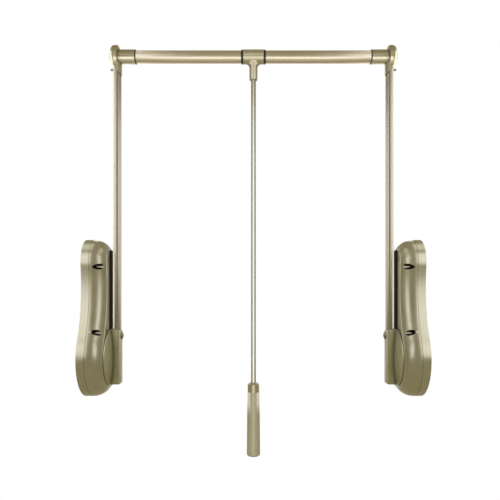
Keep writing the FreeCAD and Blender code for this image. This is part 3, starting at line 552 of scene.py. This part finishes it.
# moulded bushes that the wall screws seat on, one on the floor of each recess
seat = {"radius": 5.2 * mm, "wall": 2.4 * mm, "height": 6.4 * mm, "round": 0.6 * mm, "floor": 17 * mm}
for side in sides:
    fromWall = seat["floor"] + seat["height"] / 2
    x = fromWall if side == "left" else span - fromWall
    for level in recesses["levels"]:
        for end, y in (("Front", -level["y"]), ("Back", level["y"])):
            grow(tubeTree, "%sScrewSeat%d%s" % (side, round(level["z"] / mm), end),
                 {"Length": seat["height"], "Outer Radius": seat["radius"], "Wall": seat["wall"],
                  "Lip": seat["round"], "Finish": housingPaint},
                 Matrix.Translation((x, y, level["z"])) @ towards(1), side + "_wall_unit", None)
print("screw seats set")

# socket bolts: a domed head with a hexagon socket, and its shank
boltMesh = {"headRound": 60, "shankRound": 36, "sharpFrom": 24, "weld": 0.001 * mm}
domeShares = ((0.06, 0.98), (0.15, 0.949), (0.3525, 0.86), (0.4375, 0.75))  # each ring's rise and draw-in
boltTree, given = newTree("socketBolt", ("Head Radius", "Head Height", "Dome", "Socket Radius",
                                         "Socket Depth", "Shank Radius", "Shank Length", "Finish"))
disc = addNode(boltTree, "GeometryNodeMeshCircle", {"fill_type": "NGON"}, {"Vertices": boltMesh["headRound"]},
               {"Radius": given["Head Radius"]})
under = addNode(boltTree, "GeometryNodeFlipFaces", links={0: disc.outputs[0]})
rimHeight = addNode(boltTree, "ShaderNodeMath", {"operation": "SUBTRACT"},
                    links={0: given["Head Height"], 1: given["Dome"]})
head = addNode(boltTree, "GeometryNodeExtrudeMesh", {"mode": "FACES"}, {"Individual": False},
               {"Mesh": disc.outputs[0], "Offset Scale": rimHeight.outputs[0]})
shape, top = head.outputs["Mesh"], head.outputs["Top"]
for riseShare, drawShare in domeShares:
    rise = addNode(boltTree, "ShaderNodeMath", {"operation": "MULTIPLY"}, {1: riseShare}, {0: given["Dome"]})
    raised = addNode(boltTree, "GeometryNodeExtrudeMesh", {"mode": "FACES"}, {"Individual": False},
                     {"Mesh": shape, "Selection": top, "Offset Scale": rise.outputs[0]})
    drawnIn = addNode(boltTree, "GeometryNodeScaleElements", {"domain": "FACE"}, {"Scale": drawShare},
                      {"Geometry": raised.outputs["Mesh"], "Selection": raised.outputs["Top"]})
    shape, top = drawnIn.outputs[0], raised.outputs["Top"]
joined = addNode(boltTree, "GeometryNodeJoinGeometry", links={0: shape})
boltTree.links.new(under.outputs[0], joined.inputs[0])
closed = addNode(boltTree, "GeometryNodeMergeByDistance", (), {"Distance": boltMesh["weld"]},
                 {0: joined.outputs[0]})
twice = addNode(boltTree, "ShaderNodeMath", {"operation": "MULTIPLY"}, {1: 2.0}, {0: given["Socket Depth"]})
hexagon = addNode(boltTree, "GeometryNodeMeshCylinder", (), {"Vertices": 6},
                  {"Radius": given["Socket Radius"], "Depth": twice.outputs[0]})
atTop = addNode(boltTree, "ShaderNodeCombineXYZ", links={"Z": given["Head Height"]})
hexagon = addNode(boltTree, "GeometryNodeTransform",
                  links={"Geometry": hexagon.outputs[0], "Translation": atTop.outputs[0]})
socketed = addNode(boltTree, "GeometryNodeMeshBoolean", {"operation": "DIFFERENCE"},
                   links={"Mesh 1": closed.outputs[0], "Mesh 2": hexagon.outputs[0]})
shank = addNode(boltTree, "GeometryNodeMeshCylinder", (), {"Vertices": boltMesh["shankRound"]},
                {"Radius": given["Shank Radius"], "Depth": given["Shank Length"]})
down = addNode(boltTree, "ShaderNodeMath", {"operation": "MULTIPLY"}, {1: -0.5}, {0: given["Shank Length"]})
below = addNode(boltTree, "ShaderNodeCombineXYZ", links={"Z": down.outputs[0]})
shank = addNode(boltTree, "GeometryNodeTransform",
                links={"Geometry": shank.outputs[0], "Translation": below.outputs[0]})
whole = addNode(boltTree, "GeometryNodeJoinGeometry", links={0: socketed.outputs[0]})
boltTree.links.new(shank.outputs[0], whole.inputs[0])
closeTree(boltTree, whole.outputs[0], given["Finish"], boltMesh["sharpFrom"])
bolts = {  # faces: 1 where the head faces the other side of the wardrobe, -1 where it faces its own wall
    "hub_bolt": {"faces": 1, "head": (7.5 * mm, 2.6 * mm), "dome": 1.6 * mm, "socket": (2.9 * mm, 1.9 * mm),
                 "shank": 3.0 * mm},
    "rail_bolt": {"faces": -1, "head": (8.7 * mm, 3.5 * mm), "dome": 1.5 * mm, "socket": (2.9 * mm, 2.2 * mm),
                  "shank": 4.0 * mm},
    "set_screw": {"faces": -1, "head": (2.2 * mm, 4.2 * mm), "dome": 0.8 * mm, "socket": (1.2 * mm, 1.5 * mm),
                  "shank": 1.5 * mm},
}
for side, inward in (("left", 1), ("right", -1)):
    for kind, bolt in bolts.items():
        node = side + "_" + kind
        low, high = cornersOf(node)
        headRadius, headHeight = bolt["head"]
        socketRadius, socketDepth = bolt["socket"]
        way = inward * bolt["faces"]
        spot = (low + high) / 2
        spot.x = (high.x if way > 0 else low.x) - way * headHeight  # under the head
        grow(boltTree, node + "Socket",
             {"Head Radius": headRadius, "Head Height": headHeight, "Dome": bolt["dome"],
              "Socket Radius": socketRadius, "Socket Depth": socketDepth, "Shank Radius": bolt["shank"],
              "Shank Length": high.x - low.x - headHeight, "Finish": nickelSteel},
             Matrix.Translation(spot) @ towards(way), side + "_swing_arm", node)
print("socket bolts set:", len(sides) * len(bolts))

# the pair of compression springs in each housing: round wire wound as a helix, pressed up by the rack
coilMesh = {"perTurn": 28, "wireRound": 12, "sharpFrom": 40}
coilTree, given = newTree("coilSprings", ("Coil Radius", "Wire Radius", "Height", "Turns", "Offset",
                                          "Finish"))
helix = addNode(coilTree, "GeometryNodeCurveSpiral", (), {"Resolution": coilMesh["perTurn"]},
                {"Rotations": given["Turns"], "Start Radius": given["Coil Radius"],
                 "End Radius": given["Coil Radius"], "Height": given["Height"]})
wire = addNode(coilTree, "GeometryNodeCurvePrimitiveCircle", (), {"Resolution": coilMesh["wireRound"]},
               {"Radius": given["Wire Radius"]})
coil = addNode(coilTree, "GeometryNodeCurveToMesh", (), {"Fill Caps": True},
               {"Curve": helix.outputs[0], "Profile Curve": wire.outputs[0]})
pair = addNode(coilTree, "GeometryNodeJoinGeometry")
for sign in (-1, 1):
    offset = addNode(coilTree, "ShaderNodeMath", {"operation": "MULTIPLY"}, {1: sign}, {0: given["Offset"]})
    shift = addNode(coilTree, "ShaderNodeCombineXYZ", links={"Y": offset.outputs[0]})
    moved = addNode(coilTree, "GeometryNodeTransform",
                    links={"Geometry": coil.outputs[0], "Translation": shift.outputs[0]})
    coilTree.links.new(moved.outputs[0], pair.inputs[0])
closeTree(coilTree, pair.outputs[0], given["Finish"], coilMesh["sharpFrom"])
springs = {"radius": 6.8 * mm, "wire": 1.2 * mm, "turns": 7, "offset": 20 * mm, "fixedEnd": 152 * mm,
           "keep": 0.7}
for side in sides:
    low, high = cornersOf(side + "_springs")
    foot = Vector(((low.x + high.x) / 2, 0, low.z + springs["wire"]))
    coils = grow(coilTree, side + "CompressionSprings",
                 {"Coil Radius": springs["radius"], "Wire Radius": springs["wire"],
                  "Height": high.z - low.z - 2 * springs["wire"], "Turns": springs["turns"],
                  "Offset": springs["offset"], "Finish": oiledSteel},
                 Matrix.Translation(foot), side + "_wall_unit", side + "_springs")
    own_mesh(coils)
print("springs wound")

# rubber strips that the arms come to rest against: ribbed face, sloped upper end and a finger behind the arm.
# The finger is the rubber stop, and the long black face also stands in for the shade in the narrow gap
# between cover and arm, a dark sheet where there is mostly shade
strip = {"front": -4 * mm, "back": 11 * mm, "lip": 1.6 * mm, "wedge": 2.5 * mm, "thick": 3.3 * mm, "ribs": 5,
         "ribDepth": 0.5 * mm, "backSlope": 0.8 * mm, "endSlope": 0.8 * mm, "endShare": 0.6,
         "hubReach": 54.35 * mm, "fingerNear": 8.3 * mm, "fingerLow": 183 * mm, "fingerHigh": 193 * mm,
         "fingerRound": 1.2 * mm, "fingerSteps": 3}
firstRib = strip["front"] + strip["wedge"]  # behind a wedge that rises from the front lip
halfRibs = 2 * strip["ribs"]
pitch = (strip["back"] - firstRib - strip["backSlope"]) / halfRibs
outline = [(0, strip["front"]), (strip["lip"], strip["front"])]  # depth from the wall and y
for i in range(halfRibs + 1):
    outline.append((strip["thick"] - (strip["ribDepth"] if i % 2 else 0), firstRib + i * pitch))
outline += [(strip["thick"] - strip["backSlope"], strip["back"]), (0, strip["back"])]
for side, way in (("left", 1), ("right", -1)):
    low, high = cornersOf(side + "_arm_stop")
    wallX = low.x if way > 0 else high.x
    bm = bmesh.new()
    # the lower end follows the hub's rim, and the upper end slopes off
    rings = [[bm.verts.new((wallX + way * depth, y, math.sqrt(strip["hubReach"] ** 2 - y * y)))
              for depth, y in outline]]
    for z, share in ((high.z - strip["endSlope"], 1), (high.z, strip["endShare"])):
        rings.append([bm.verts.new((wallX + way * depth * share, y, z)) for depth, y in outline])
    for lower, upper in zip(rings, rings[1:]):
        for i in range(len(outline)):
            bm.faces.new((lower[i - 1], lower[i], upper[i], upper[i - 1]))
    bm.faces.new(rings[0])
    bm.faces.new(rings[-1])
    near = Vector((low.x, strip["fingerNear"], strip["fingerLow"]))
    far = Vector((high.x, high.y, strip["fingerHigh"]))
    fingerBox = Matrix.Translation((near + far) / 2) @ Matrix.Diagonal((far - near).to_4d())
    finger = bmesh.ops.create_cube(bm, size=1, matrix=fingerBox)
    edges = dict.fromkeys(edge for vert in finger["verts"] for edge in vert.link_edges)  # each of them once
    bmesh.ops.bevel(bm, geom=list(edges), offset=strip["fingerRound"], segments=strip["fingerSteps"],
                    affect="EDGES", profile=0.5)
    bmesh.ops.recalc_face_normals(bm, faces=bm.faces)
    stopMesh = bpy.data.meshes.new(side + "StopStrip")
    bm.to_mesh(stopMesh)
    bm.free()
    stopMesh.materials.append(blackRubber)
    stopStrip = bpy.data.objects.new(side + "StopStrip", stopMesh)
    scene.collection.objects.link(stopStrip)
    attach(stopStrip, side + "_wall_unit")
    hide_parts(side + "_arm_stop")
print("stop strips set")

# the pieces are there now, so the boxes' groups are filled
for group, names in flagged.items():
    for name in names:
        groups[group].objects.link(bpy.data.objects[name])
for lamp in lamps.values():
    for use in {"without", "through"} & set(lamp):
        for member in groups[lamp[use]].collection_objects:
            member.light_linking.link_state = "EXCLUDE"
print("light groups filled:", len(groups))
